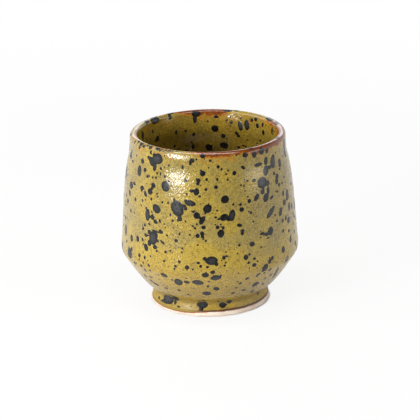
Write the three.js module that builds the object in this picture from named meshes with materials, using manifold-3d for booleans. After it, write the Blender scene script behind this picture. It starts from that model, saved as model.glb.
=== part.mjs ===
// A hand-thrown stoneware tumbler: a clay body, three coats of glaze fused on to it, and the larger black
// splashes that were flicked over the coats before the firing.
// Millimetres, +Z up, with the origin on the table under the middle of the foot.
import * as THREE from 'three';
import { mergeVertices } from 'three/addons/utils/BufferGeometryUtils.js';
import Module from 'manifold-3d';

// Outside of the clay, from the table up: each radius, and the rise to it from the place below
const FOOT_EDGE = 0.9; // rounding where the foot meets the table
const FOOT_RADIUS = 29.4;
const CREASE_RISE = 6.05;
const CREASE_RADIUS = 27.85; // the trimmed groove between foot and bowl
const BOWL_RISE = 3.75;
const BOWL_RADIUS = 33.6; // pulls the bowl out above the groove
const CORNER_RISE = 13.7;
const CORNER_RADIUS = 42.0; // the bowl turns up into the wall here
const BELLY_RISE = 4.2;
const BELLY_RADIUS = 43.65;
const LOWER_WALL_RISE = 11.4;
const LOWER_WALL_RADIUS = 42.75;
const MIDDLE_WALL_RISE = 13;
const MIDDLE_WALL_RADIUS = 41.75;
const SHOULDER_RISE = 14;
const SHOULDER_RADIUS = 40.3;
const NECK_RISE = 13;
const NECK_RADIUS = 37.75;
const LIP_RISE = 4.8;
const LIP_RADIUS = 37.8;

// Inside of the clay and its underside
const LIP_THICKNESS = 3.04;
const WALL_THICKNESS = 4.05;
const FLOOR_THICKNESS = 5.8;
const INSIDE_TURN_RISE = 4; // above the belly, where the inside starts to curve in
const INSIDE_CORNER_DROP = 4.4; // below the corner, how low that curve is pulled
const FOOT_RING_WIDTH = 4.2;
const RECESS_DEPTH = 3.5;
const RECESS_CORNER = 2.4;

// Glaze
const BARE_FOOT_HEIGHT = 2.5; // wiped clean of glaze, so that the foot does not stick to the shelf
const GLAZE_THICKNESS = 0.4;
const GLAZE_EDGE_THICKNESS = 0.15; // the outer coat thins to this at the foot
const LIP_COAT_OUTER_TURN = 15; // degrees round the lip from its outer side, where the lip coat starts
const LIP_COAT_INNER_TURN = 165;
const SPLASH_THICKNESS = 0.2;
const SPLASH_CLEARANCE = 0.02; // under a splash, which lies on the finished coat
const SPLASH_CUT_DEPTH = 2.4; // through the splash film, on top of the bend of the wall under the splash

// Straight steps that stand for each curve
const TURN_STEPS = 48;
const OVAL_STEPS = 12;
const FOOT_EDGE_STEPS = 3;
const RECESS_STEPS = 4;
const BOWL_STEPS = 4;
const CORNER_STEPS = 3;
const WALL_STEPS = 8;
const HALF_LIP_STEPS = 3;
const INSIDE_WALL_STEPS = 7;
const INSIDE_BOWL_STEPS = 7;

// Splashes: turn in degrees from the front towards the right, place up the wall in percent (0 at the lower
// edge of the glaze, 100 on top of the lip, 200 at the middle of the floor inside), width round the wall and
// length up the wall in millimetres, and lean in degrees
const OUTSIDE_SPLASHES = [
  // front, from the foot to the belly
  [-48, 2.8, 6.8, 4.3, 0],
  [-36, 9.2, 5.0, 3.4, -10],
  [-8.5, 3.2, 5.0, 3.2, 0],
  [11.9, 3, 3.2, 2.8, 0],
  [-3.1, 17.5, 3.9, 3.2, 0],
  [35.4, 20.8, 3.6, 3.6, 0],
  [-22.2, 26.6, 4.2, 4.6, -30],
  [-8.7, 27.6, 5.0, 3.5, 0],
  [3.4, 31.5, 4.5, 3.4, 12],
  [-31.8, 30.5, 3.3, 3.0, -25],
  [-3.1, 33.5, 3.1, 2.5, 0],
  [37, 33, 3.1, 4.2, -20],
  // front, the belly and the wall
  [-63.2, 36.2, 4.2, 5.0, 0],
  [1.3, 41.1, 5.2, 4.0, -12],
  [-45.7, 43.8, 2.8, 3.1, 0],
  [-40.1, 49.8, 5.0, 5.8, 0],
  [43.3, 52, 3.4, 4.0, -15],
  [7.2, 55.5, 3.6, 3.3, 0],
  [-45, 61.5, 3.2, 5.1, 5],
  [45, 62.5, 2.6, 6.6, -54],
  [9.8, 64.2, 3.6, 3.2, 0],
  [15.1, 64.6, 2.9, 5.4, -8],
  [-37, 66.3, 4.4, 4.2, 0],
  [-20.9, 67.9, 6.4, 6.9, 0],
  [-1.2, 69, 3.9, 4.0, 0],
  [-12.2, 72, 5.2, 2.6, -12],
  [10.8, 73.8, 3.4, 3.7, 0],
  [41.4, 71, 3.0, 4.4, -20],
  [-66, 73.7, 3.8, 3.4, 0],
  [-30.9, 79.1, 4.6, 4.6, 0],
  [39.7, 79.1, 5.2, 5.2, 20],
  [44.6, 85.2, 3.0, 4.6, -20],
  [-39.5, 92.6, 6.0, 5.0, 0],
  [53.6, 88.1, 3.4, 6.2, -10],
  // back
  [84, 57, 4.6, 5.2, -15],
  [97, 83, 3.6, 3.8, 0],
  [108, 33, 5.0, 3.6, 10],
  [121, 66, 6.0, 5.6, 0],
  [134, 48, 3.4, 4.6, 20],
  [147, 24, 4.4, 3.8, 0],
  [158, 77, 4.8, 4.4, 0],
  [171, 56, 3.8, 5.4, -10],
  [-174, 38, 5.2, 4.2, 15],
  [-160, 86, 3.6, 4.4, 0],
  [-149, 63, 4.2, 4.0, 0],
  [-133, 44, 5.6, 4.8, -20],
  [-118, 74, 4.4, 5.2, 0],
  [-101, 54, 3.8, 3.6, 0],
  [-92, 28, 4.2, 3.4, 0],
];
const INSIDE_SPLASHES = [
  [190.2, 102.2, 4.6, 3.0, 0],
  [174, 110.3, 3.4, 3.4, 0],
  [150.9, 107.5, 2.4, 5.0, 10],
  [144.2, 106.4, 2.9, 5.0, 8],
  [179, 120.5, 3.5, 3.5, 0],
  [167, 119.3, 3.6, 3.4, 0],
];

// Heights, stacked from the table
const creaseHeight = FOOT_EDGE + CREASE_RISE;
const bowlHeight = creaseHeight + BOWL_RISE;
const cornerHeight = bowlHeight + CORNER_RISE;
const bellyHeight = cornerHeight + BELLY_RISE;
const lowerWallHeight = bellyHeight + LOWER_WALL_RISE;
const middleWallHeight = lowerWallHeight + MIDDLE_WALL_RISE;
const shoulderHeight = middleWallHeight + SHOULDER_RISE;
const neckHeight = shoulderHeight + NECK_RISE;
const lipHeight = neckHeight + LIP_RISE;
const floorHeight = RECESS_DEPTH + FLOOR_THICKNESS;

const at = (radius, height) => new THREE.Vector2(radius, height);
const along = (curve, steps) => curve.getSpacedPoints(steps).slice(1);
const radians = THREE.MathUtils.degToRad;

// Outline of the clay that carries glaze: up the outside, over the lip and down to the middle of the floor

function outsideLine() {
  const edge = at(FOOT_RADIUS, FOOT_EDGE);
  const crease = at(CREASE_RADIUS, creaseHeight);
  const corner = at(CORNER_RADIUS, cornerHeight);
  const belly = at(BELLY_RADIUS, bellyHeight);
  const glazeEdge = edge.clone().lerp(crease, (BARE_FOOT_HEIGHT - FOOT_EDGE) / CREASE_RISE);
  const bowl = new THREE.QuadraticBezierCurve(crease, at(BOWL_RADIUS, bowlHeight), corner);
  const belowBelly = at(BELLY_RADIUS, cornerHeight + BELLY_RISE / 2);
  const turnUp = new THREE.QuadraticBezierCurve(corner, belowBelly, belly);
  const wall = new THREE.SplineCurve([
    belly,
    at(LOWER_WALL_RADIUS, lowerWallHeight),
    at(MIDDLE_WALL_RADIUS, middleWallHeight),
    at(SHOULDER_RADIUS, shoulderHeight),
    at(NECK_RADIUS, neckHeight),
    at(LIP_RADIUS, lipHeight),
  ]);
  return [
    glazeEdge,
    crease,
    ...along(bowl, BOWL_STEPS),
    ...along(turnUp, CORNER_STEPS),
    ...along(wall, WALL_STEPS),
  ];
}

function lipArc(fromTurn, toTurn, steps) {
  const middle = at(LIP_RADIUS - LIP_THICKNESS / 2, lipHeight);
  const round = LIP_THICKNESS / 2;
  const arc = new THREE.EllipseCurve(
    middle.x, middle.y, round, round, radians(fromTurn), radians(toTurn), false);
  return along(arc, steps);
}

function insideLine() {
  const turn = at(BELLY_RADIUS - WALL_THICKNESS, bellyHeight + INSIDE_TURN_RISE);
  const wall = new THREE.SplineCurve([
    at(LIP_RADIUS - LIP_THICKNESS, lipHeight),
    at(NECK_RADIUS - WALL_THICKNESS, neckHeight),
    at(SHOULDER_RADIUS - WALL_THICKNESS, shoulderHeight),
    at(MIDDLE_WALL_RADIUS - WALL_THICKNESS, middleWallHeight),
    at(LOWER_WALL_RADIUS - WALL_THICKNESS, lowerWallHeight),
    turn,
  ]);
  const bowl = new THREE.CubicBezierCurve(
    turn,
    at(turn.x, cornerHeight - INSIDE_CORNER_DROP),
    at(CREASE_RADIUS, floorHeight),
    at(0, floorHeight),
  );
  return [...along(wall, INSIDE_WALL_STEPS), ...along(bowl, INSIDE_BOWL_STEPS)];
}

// A line moved outwards, on the side that the glaze lies on; its last point stays on the axis
function raised(line, thickness) {
  return line.map((point, index) => {
    const before = line[Math.max(index - 1, 0)];
    const after = line[Math.min(index + 1, line.length - 1)];
    const direction = after.clone().sub(before).normalize();
    const lifted = at(point.x + direction.y * thickness, point.y - direction.x * thickness);
    return point.x === 0 ? at(0, point.y + thickness) : lifted;
  });
}

const outside = outsideLine();
const lipOuter = lipArc(0, LIP_COAT_OUTER_TURN, 1);
const lipTop = [
  ...lipArc(LIP_COAT_OUTER_TURN, 90, HALF_LIP_STEPS),
  ...lipArc(90, LIP_COAT_INNER_TURN, HALF_LIP_STEPS),
];
const lipInner = lipArc(LIP_COAT_INNER_TURN, 180, 1);
const clayLine = [...outside, ...lipOuter, ...lipTop, ...lipInner, ...insideLine()];
const glazeLine = raised(clayLine, GLAZE_THICKNESS);
glazeLine[0] = raised(clayLine, GLAZE_EDGE_THICKNESS)[0];

const lipCoatStart = outside.length + lipOuter.length - 1;
const lipCoatEnd = lipCoatStart + lipTop.length;
const lipCrest = lipCoatStart + lipTop.length / 2;

// Solids turned about the axis

function turned(profile) {
  const geometry = new THREE.LatheGeometry(profile, TURN_STEPS);
  geometry.rotateX(Math.PI / 2);
  return geometry;
}

function clayGeometry() {
  const ringOuter = FOOT_RADIUS - FOOT_EDGE;
  const ringInner = ringOuter - FOOT_RING_WIDTH;
  const ceiling = at(ringInner - RECESS_CORNER, RECESS_DEPTH);
  const recess = new THREE.QuadraticBezierCurve(ceiling, at(ringInner, RECESS_DEPTH), at(ringInner, 0));
  const footEdge = new THREE.EllipseCurve(
    ringOuter, FOOT_EDGE, FOOT_EDGE, FOOT_EDGE, -Math.PI / 2, 0, false);
  return turned([
    at(0, RECESS_DEPTH),
    ceiling,
    ...along(recess, RECESS_STEPS),
    ...footEdge.getPoints(FOOT_EDGE_STEPS),
    ...clayLine,
  ]);
}

// A coat lies on the clay between two places along its outline, and the coats meet there face to face
function coatGeometry(start, end) {
  const under = clayLine.slice(start, end + 1);
  const over = glazeLine.slice(start, end + 1);
  const ring = [...under.reverse(), ...over];
  const meetsAxis = ring[0].x === 0;
  return turned(meetsAxis ? ring : [...ring, ring[0]]);
}

// Splashes are ovals cut out of a thin film over the finished glaze

const wasm = await Module();
wasm.setup();

function toSolid(geometry) {
  geometry.deleteAttribute('normal');
  geometry.deleteAttribute('uv');
  const merged = mergeVertices(geometry);
  return new wasm.Manifold(new wasm.Mesh({
    numProp: 3,
    vertProperties: merged.getAttribute('position').array,
    triVerts: Uint32Array.from(merged.index.array),
  }));
}

function toGeometry(solid) {
  const { vertProperties, triVerts } = solid.getMesh();
  const geometry = new THREE.BufferGeometry();
  geometry.setAttribute('position', new THREE.BufferAttribute(vertProperties, 3));
  geometry.setIndex(new THREE.BufferAttribute(triVerts, 1));
  geometry.computeVertexNormals();
  return geometry;
}

// Distance along the glaze from its lower edge to each corner of its outline
const travelled = [0];
glazeLine.slice(1).forEach((point, index) => {
  travelled.push(travelled[index] + point.distanceTo(glazeLine[index]));
});
const cornerBefore = (distance) => Math.max(travelled.findLastIndex((length) => length <= distance), 0);
const cornerAfter = (distance) => travelled.findIndex((length) => length >= distance);

function distanceAlong(percent) {
  const crest = travelled[lipCrest];
  const inside = travelled.at(-1) - crest;
  return percent > 100 ? crest + (inside * (percent - 100)) / 100 : (crest * percent) / 100;
}

function placeOnGlaze(distance) {
  const step = cornerBefore(distance);
  const direction = glazeLine[step + 1].clone().sub(glazeLine[step]).normalize();
  const point = glazeLine[step].clone().addScaledVector(direction, distance - travelled[step]);
  return { point, direction };
}

// The film over the coats, as far along the outline as a splash reaches
function splashFilm(distance, reach) {
  const start = cornerBefore(distance - reach);
  const end = cornerAfter(distance + reach) + 1;
  const lift = GLAZE_THICKNESS + SPLASH_CLEARANCE;
  const under = raised(clayLine, lift).slice(start, end);
  const over = raised(clayLine, lift + SPLASH_THICKNESS).slice(start, end);
  return toSolid(turned([...over, ...under.reverse(), over[0]]));
}

function splashGeometry([turn, percent, width, length, lean]) {
  const distance = distanceAlong(percent);
  const reach = (Math.max(width, length) + SPLASH_CUT_DEPTH) / 2;
  const { point, direction } = placeOnGlaze(distance);
  const oval = new THREE.Shape();
  oval.absellipse(0, 0, width / 2, length / 2, 0, 2 * Math.PI, false, radians(lean));
  const cutter = new THREE.ExtrudeGeometry(oval, {
    depth: 2 * reach,
    bevelEnabled: false,
    curveSegments: OVAL_STEPS / 2,
  });
  cutter.translate(0, 0, -reach);
  const outwards = new THREE.Vector3(Math.sin(radians(turn)), -Math.cos(radians(turn)), 0);
  const up = new THREE.Vector3(0, 0, 1);
  const round = up.clone().cross(outwards);
  const alongWall = outwards.clone().multiplyScalar(direction.x).addScaledVector(up, direction.y);
  const offWall = outwards.clone().multiplyScalar(direction.y).addScaledVector(up, -direction.x);
  const place = new THREE.Matrix4().makeBasis(round, alongWall, offWall);
  place.setPosition(outwards.x * point.x, outwards.y * point.x, point.y);
  cutter.applyMatrix4(place);
  return toGeometry(splashFilm(distance, reach).intersect(toSolid(cutter)));
}

// Scene graph

const clay = new THREE.MeshStandardMaterial({ color: 0xecd3bd, roughness: 0.9, metalness: 0 });
const ochreGlaze = new THREE.MeshStandardMaterial({ color: 0xb1974c, roughness: 0.3, metalness: 0 });
const rustGlaze = new THREE.MeshStandardMaterial({ color: 0x96601e, roughness: 0.3, metalness: 0 });
const linerGlaze = new THREE.MeshStandardMaterial({ color: 0x8d7432, roughness: 0.3, metalness: 0 });
const blackGlaze = new THREE.MeshStandardMaterial({ color: 0x26282a, roughness: 0.35, metalness: 0 });

const tumbler = new THREE.Group();

function add(name, geometry, material) {
  const mesh = new THREE.Mesh(geometry, material);
  mesh.name = name;
  tumbler.add(mesh);
}

add('clay_body', clayGeometry(), clay);
add('outer_glaze', coatGeometry(0, lipCoatStart), ochreGlaze);
add('lip_glaze', coatGeometry(lipCoatStart, lipCoatEnd), rustGlaze);
add('liner_glaze', coatGeometry(lipCoatEnd, clayLine.length - 1), linerGlaze);

const numbered = (name, index) => `${name}_${String(index + 1).padStart(2, '0')}`;
OUTSIDE_SPLASHES.forEach((splash, index) => {
  add(numbered('splash', index), splashGeometry(splash), blackGlaze);
});
INSIDE_SPLASHES.forEach((splash, index) => {
  add(numbered('inside_splash', index), splashGeometry(splash), blackGlaze);
});

export default tumbler;
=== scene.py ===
# %% [markdown]
# # A spattered stoneware tumbler
#
# This lesson dresses a hand-thrown tumbler. Its construction is already there as a frame of plain solids:
# one clay body, three coats of glaze and the larger drops of black glaze. Here each of them gets a finer
# mesh in the same place, the small drops that were too many for the frame, and a material with the depth of
# a fired glaze.
#
# The frame is loaded first, and its box is measured. The finished pot may not grow past it.

# %% Load the frame
import random
from math import atan2, cos, hypot, pi, radians, sin, sqrt

import bmesh
import bpy
from mathutils import Matrix, Quaternion, Vector, geometry, noise


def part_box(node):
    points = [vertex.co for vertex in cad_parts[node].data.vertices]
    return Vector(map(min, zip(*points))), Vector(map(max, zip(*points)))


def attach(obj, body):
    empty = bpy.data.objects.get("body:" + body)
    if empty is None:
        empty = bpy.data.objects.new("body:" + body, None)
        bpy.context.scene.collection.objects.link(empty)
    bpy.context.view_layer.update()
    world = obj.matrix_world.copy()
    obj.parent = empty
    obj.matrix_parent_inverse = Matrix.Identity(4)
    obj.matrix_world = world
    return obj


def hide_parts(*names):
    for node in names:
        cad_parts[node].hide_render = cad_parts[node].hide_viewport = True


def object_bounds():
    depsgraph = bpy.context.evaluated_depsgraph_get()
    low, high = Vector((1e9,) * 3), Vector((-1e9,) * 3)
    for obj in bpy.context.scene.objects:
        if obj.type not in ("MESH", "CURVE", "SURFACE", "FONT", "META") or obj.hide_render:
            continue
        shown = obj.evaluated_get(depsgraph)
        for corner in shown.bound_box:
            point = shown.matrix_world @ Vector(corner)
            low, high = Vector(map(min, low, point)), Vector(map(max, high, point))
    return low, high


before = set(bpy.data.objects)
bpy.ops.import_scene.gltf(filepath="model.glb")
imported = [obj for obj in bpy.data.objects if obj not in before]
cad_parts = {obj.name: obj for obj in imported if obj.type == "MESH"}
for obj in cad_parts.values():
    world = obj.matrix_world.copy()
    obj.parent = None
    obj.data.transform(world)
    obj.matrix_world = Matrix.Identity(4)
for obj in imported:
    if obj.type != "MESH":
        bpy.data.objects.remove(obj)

MM = 0.001
cad_low, cad_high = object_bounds()
cad_sides = [round(side / MM, 2) for side in cad_high - cad_low]
print("frame:", len(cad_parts), "nodes, box in mm", cad_sides)

# %% [markdown]
# ## Camera
#
# The pot was seen from about a metre away through a long lens, a little above its lip, so the ellipses of
# lip and foot are slim and hardly differ. A camera could be placed by eye, but here its distance, height
# and lens come from those two ellipses. The picture was tipped by less than a degree, which is a roll about
# the line of sight.

# %% Camera
CAMERA_TARGET = Vector((0.3 * MM, 0, 45.1 * MM))
CAMERA_DISTANCE = 1.0
CAMERA_RISE = radians(19.34)
CAMERA_ROLL = radians(-0.8)
CAMERA_LENS = 172.84
SENSOR_WIDTH = 36

camera = bpy.data.objects.new("camera", bpy.data.cameras.new("camera"))
camera.data.sensor_width = SENSOR_WIDTH
camera.data.lens = CAMERA_LENS
towards_camera = Vector((0, -cos(CAMERA_RISE), sin(CAMERA_RISE)))
camera.location = CAMERA_TARGET + CAMERA_DISTANCE * towards_camera
camera.rotation_mode = "QUATERNION"
level = (-towards_camera).to_track_quat("-Z", "Y")
camera.rotation_quaternion = level @ Quaternion((0, 0, 1), CAMERA_ROLL)
bpy.context.scene.collection.objects.link(camera)
bpy.context.scene.camera = camera
print("camera at", [round(c, 3) for c in camera.location])

# %% [markdown]
# ## The outline of the pot
#
# A thrown pot is a line turned about an axis. That line is read off the frame: every turned solid has one
# row of corners in the half plane that faces the camera. The corners of the coats that don't lie on the
# clay are the outside of the glaze, and in order they run from the foot up the wall, over the lip and down
# to the floor. They are far apart, so a smooth curve is drawn through them, in stretches of a Hermite
# curve. Its slope at a corner is the mean of the two stretches that meet there, weighed by their lengths,
# and a long stretch beside a short one gets a short handle, so that it never swings out.

# %% Corners of the outline
SAME_PLACE = 0.02 * MM


def corners_facing_front(node):
    """Radius and height of the corners of a turned solid in the half plane that faces the camera."""
    found = []
    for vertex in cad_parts[node].data.vertices:
        here = Vector((-vertex.co.y, vertex.co.z))
        in_plane = abs(vertex.co.x) < SAME_PLACE and here.x > -SAME_PLACE
        if in_plane and all((here - other).length > SAME_PLACE for other in found):
            found.append(here)
    return found


clay_corners = corners_facing_front("clay_body")


def off_rows(corners, others):
    """The corners that don't lie on any of the others."""
    return [p for p in corners if all((p - other).length > SAME_PLACE for other in others)]


def glaze_corners(node):
    """The corners of a coat on its free side, away from the clay."""
    return off_rows(corners_facing_front(node), clay_corners)


lip_corners = glaze_corners("lip_glaze")
lip_middle = Vector((sum(p.x for p in lip_corners) / len(lip_corners), min(p.y for p in lip_corners)))
outside_corners = sorted(glaze_corners("outer_glaze"), key=lambda p: p.y)
over_lip = sorted(lip_corners, key=lambda p: atan2(p.y - lip_middle.y, p.x - lip_middle.x))
inside_corners = sorted(glaze_corners("liner_glaze"), key=lambda p: (-p.y, -p.x))
print("corners:", len(outside_corners), "outside,", len(over_lip), "over the lip,",
      len(inside_corners), "inside")

# %% A smooth curve through them
LINE_STEP = 0.42 * MM


def smooth_curve(corners, step):
    """A smooth curve through the corners, as points about one step apart."""
    gaps = [(b - a).length for a, b in zip(corners, corners[1:])]
    slopes = [(b - a) / gap for a, b, gap in zip(corners, corners[1:], gaps)]
    tangents = [slopes[0]]
    for before, after, gap, next_gap in zip(slopes, slopes[1:], gaps, gaps[1:]):
        tangents.append((before * next_gap + after * gap) / (gap + next_gap))
    tangents.append(slopes[-1])
    curve = [corners[0]]
    for index, gap in enumerate(gaps):
        leaving = min(gap, 2 * gaps[max(index - 1, 0)]) * tangents[index]
        arriving = min(gap, 2 * gaps[min(index + 1, len(gaps) - 1)]) * tangents[index + 1]
        count = max(1, round(gap / step))
        for t in (n / count for n in range(1, count + 1)):
            curve.append(
                (1 + 2 * t) * (1 - t) ** 2 * corners[index]
                + t * (1 - t) ** 2 * leaving
                + t * t * (3 - 2 * t) * corners[index + 1]
                + t * t * (t - 1) * arriving
            )
    return curve


def joined(*rows):
    """Rows of corners that share their end points, as one row."""
    row = list(rows[0])
    for more in rows[1:]:
        row += [p for p in more if (p - row[-1]).length > SAME_PLACE]
    return row


glaze_line = smooth_curve(joined(outside_corners, over_lip, inside_corners), LINE_STEP)
travelled = [0.0]
for here, there in zip(glaze_line, glaze_line[1:]):
    travelled.append(travelled[-1] + (there - here).length)
crest = max(range(len(glaze_line)), key=lambda i: glaze_line[i].y)
print(f"glaze line: {len(glaze_line)} points, {travelled[crest] / MM:.1f} mm up to the crest of the lip,",
      f"{(travelled[-1] - travelled[crest]) / MM:.1f} mm down to the floor")

# %% [markdown]
# ## The clay under the glaze
#
# The glaze is a skin of nearly even thickness that thins out at its wiped edge on the foot, so the clay's
# own line is the glaze line moved in by that thickness. Below the glaze the clay is bare: the shallow
# recess trimmed out under the pot, the flat ring that it stands on, and the rounded edge of the foot. The
# corners of the clay that no coat shares are this bare part. The recess and the edge are drawn as smooth
# curves, and the ring between them stays flat.

# %% Line of the clay
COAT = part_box("outer_glaze")[1].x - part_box("clay_body")[1].x
COAT_AT_EDGE = 0.15 * MM
COAT_TAPER = 4.6 * MM


def direction_at(index):
    """Direction of the glaze line at one of its points."""
    before = glaze_line[max(index - 1, 0)]
    after = glaze_line[min(index + 1, len(glaze_line) - 1)]
    return (after - before).normalized()


def coat_at(index):
    """Thickness of the glaze at one of its points."""
    grown = min(travelled[index] / COAT_TAPER, 1)
    return COAT_AT_EDGE + (COAT - COAT_AT_EDGE) * grown


clay_line = []
for index, point in enumerate(glaze_line):
    along = direction_at(index)
    inwards = Vector((-along.y, along.x))
    clay_line.append(point + coat_at(index) * inwards)
clay_line[-1].x = 0
glaze_edge_height = clay_line[0].y

FOOT_STEP = 0.6 * MM
COATS = "outer_glaze", "lip_glaze", "liner_glaze"
coat_corners = [p for node in COATS for p in corners_facing_front(node)]
bare_corners = off_rows(clay_corners, coat_corners)
bare_corners.sort(key=lambda p: p.x)
on_ring = [i for i, p in enumerate(bare_corners) if p.y < SAME_PLACE]
recess = smooth_curve(bare_corners[:on_ring[0] + 1], FOOT_STEP)
foot_edge = smooth_curve(bare_corners[on_ring[-1]:] + [clay_line[0]], FOOT_STEP / 2)
bare_foot = recess + foot_edge[:-1]
print(f"coat {COAT / MM:.2f} mm thick, bare foot {glaze_edge_height / MM:.2f} mm high,",
      f"recess {bare_corners[0].y / MM:.2f} mm deep, {len(bare_foot)} points")

# %% [markdown]
# ## The hand in the pot
#
# A lathe would leave the pot perfectly round, and it would look cast. A thrown pot has slow swellings where
# the hands pressed and a faint spiral of finger lines. Its lip leans a little to the left, dips at the back
# left, and at the front left a finger rolled its outer side inwards, which catches the light. One function
# moves any point by these amounts. The clay, the coats and the drops all pass through it, so they stay
# together. The belly is left true, because it is the widest part and the pot may not grow past the frame.
# All of it is drawn in by a few hundredths of a millimetre, as room for the drops that lie on top.

# %% Marks of throwing
SWELLING = 0.11 * MM
FINGER_LINE = 0.012 * MM
FINGER_PITCH = 3.6 * MM
LIP_LEAN = 0.3 * MM
DROP_ROOM = 0.07 * MM
LIP_DIP = 0.5 * MM
DIP_TURN = radians(-122)
ROLL_TURN = radians(-24)
ROLL_DROP = 4.0 * MM
ROLL_SOFT = 1.5 * MM
ROLL_SLOPE = 0.32
ROLL_ENDS, ROLL_FULL = radians(62), radians(18)
ROLL_INNER, ROLL_OUTER = -1 * MM, 1.6 * MM
BELLY_HEIGHT = max(outside_corners, key=lambda p: p.x).y
MARKS_FROM, MARKS_TO = BELLY_HEIGHT + 2 * MM, BELLY_HEIGHT + 14 * MM
LIP_HEIGHT = glaze_line[crest].y


def eased(value, low, high):
    """0 below low, 1 above high, and a smooth rise between."""
    share = min(max((value - low) / (high - low), 0), 1)
    return share * share * (3 - 2 * share)


def lip_roll(radius, height, turn):
    """How far the outer side of the lip is rolled inwards at a place."""
    above = max(height - (LIP_HEIGHT - ROLL_DROP), 0)
    at_front = eased(cos(turn - ROLL_TURN), cos(ROLL_ENDS), cos(ROLL_FULL))
    outside = eased(radius, lip_middle.x + ROLL_INNER, lip_middle.x + ROLL_OUTER)
    return ROLL_SLOPE * above ** 2 / (above + ROLL_SOFT) * at_front * outside


def thrown(place):
    """Where a point of the true round pot lies on the hand-thrown one."""
    radius = hypot(place.x, place.y)
    if radius < SAME_PLACE:
        return place.copy()
    turn = atan2(place.x, -place.y)
    rise = place.z / LIP_HEIGHT
    swell = 0.6 * sin(2 * turn + 0.9 + 2.2 * rise) + 0.4 * sin(3 * turn - 0.4 - 3.1 * rise)
    finger = sin(2 * pi * place.z / FINGER_PITCH - turn) * (1 + 0.6 * sin(turn + 7 * rise)) / 1.6
    marks = eased(place.z, MARKS_FROM, MARKS_TO) * (SWELLING * swell + FINGER_LINE * finger)
    grown = 1 - (marks + lip_roll(radius, place.z, turn) + DROP_ROOM) / radius
    upper = eased(place.z, BELLY_HEIGHT, LIP_HEIGHT)
    dip = LIP_DIP * ((1 + cos(turn - DIP_TURN)) / 2) ** 4
    lowered = (dip + DROP_ROOM) * upper
    return Vector((place.x * grown - LIP_LEAN * upper, place.y * grown, place.z - lowered))


outer_lip = lip_middle.x + ROLL_OUTER
front_lip = Vector((outer_lip * sin(ROLL_TURN), -outer_lip * cos(ROLL_TURN), LIP_HEIGHT - ROLL_SOFT))
print("the front lip moves by", [round(c / MM, 2) for c in thrown(front_lip) - front_lip], "mm")

# %% [markdown]
# ## Turning the clay and the coats
#
# Each piece is one closed line spun about the Z axis. Spin with use_merge joins the last copy to the first,
# and the points on the axis fall together, so doubles are merged and the normals recalculated. The faces
# are shaded smooth, but an edge that turns by more than 40 degrees, such as the rim of a coat, is kept
# sharp.

# %% A spun piece
SPIN_STEPS = 192
SHARP = radians(40)
MERGE = 0.001 * MM


def finish_mesh(bm, name):
    """Makes an object of a bmesh, shaded smooth except at its sharp edges, and lets it ride on the body."""
    for face in bm.faces:
        face.smooth = True
    for edge in bm.edges:
        edge.smooth = len(edge.link_faces) != 2 or edge.calc_face_angle() < SHARP
    mesh = bpy.data.meshes.new(name)
    bm.to_mesh(mesh)
    bm.free()
    piece = bpy.data.objects.new(name, mesh)
    bpy.context.scene.collection.objects.link(piece)
    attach(piece, "root")
    return piece


def spun(name, line, shape=thrown):
    """Spins a line of radii and heights, which closes on itself or on the axis, into a piece."""
    bm = bmesh.new()
    row = [bm.verts.new((0, -p.x, p.y)) for p in line]
    edges = [bm.edges.new(pair) for pair in zip(row, row[1:])]
    if line[0].x > SAME_PLACE:
        edges.append(bm.edges.new((row[-1], row[0])))
    bmesh.ops.spin(bm, geom=row + edges, axis=(0, 0, 1), cent=(0, 0, 0), angle=2 * pi,
                   steps=SPIN_STEPS, use_merge=True)
    bmesh.ops.remove_doubles(bm, verts=bm.verts, dist=MERGE)
    bmesh.ops.recalc_face_normals(bm, faces=bm.faces)
    for vertex in bm.verts:
        vertex.co = shape(vertex.co)
    piece = finish_mesh(bm, name)
    print(name, len(piece.data.polygons), "faces")
    return piece


# %% [markdown]
# The clay under the glaze is hidden, and so is the side of a coat that lies on it. These lines keep only
# one point in four, which saves most of the faces where nobody sees them.

# %% Clay body
HIDDEN_STEP = 4


def thinned(line):
    """Every fourth point of a line, and its last one."""
    return line[:-1:HIDDEN_STEP] + line[-1:]


thrown_clay = spun("thrown_clay", bare_foot + thinned(clay_line))
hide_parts("clay_body")

# %% [markdown]
# The glaze was wiped off the foot with a damp sponge, so its lower edge wanders a little. The outer coat
# gets that by lifting and lowering its lowest points with a smooth noise. The three coats meet where the
# frame's coats meet.

# %% Coats of glaze
EDGE_WANDER = 0.22 * MM
WANDER_FADE = 2 * MM
WANDER_WAVES = 5


def wiped(place):
    """The thrown shape, with the wandering lower edge of a wiped coat."""
    turn = atan2(place.x, -place.y)
    near_edge = 1 - eased(place.z, glaze_edge_height, glaze_edge_height + WANDER_FADE)
    wander = noise.noise(Vector((WANDER_WAVES * cos(turn), WANDER_WAVES * sin(turn), 0.5)))
    moved = thrown(place)
    moved.z += EDGE_WANDER * wander * near_edge
    return moved


def coat(name, start, end, shape=thrown):
    """A coat of glaze between two points of the glaze line, closed along the clay."""
    free_side = glaze_line[start:end + 1]
    clay_side = thinned(clay_line[start:end + 1])
    return spun(name, clay_side[::-1] + free_side, shape)


def index_of(corner):
    """Where a corner of the frame's outline comes in the glaze line."""
    return min(range(len(glaze_line)), key=lambda i: (glaze_line[i] - corner).length)


lip_start = index_of(over_lip[0])
lip_end = index_of(over_lip[-1])
ochre_coat = coat("ochre_coat", 0, lip_start, wiped)
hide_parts("outer_glaze")
lip_coat = coat("lip_coat", lip_start, lip_end)
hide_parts("lip_glaze")
liner_coat = coat("liner_coat", lip_end, len(glaze_line) - 1)
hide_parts("liner_glaze")
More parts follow.
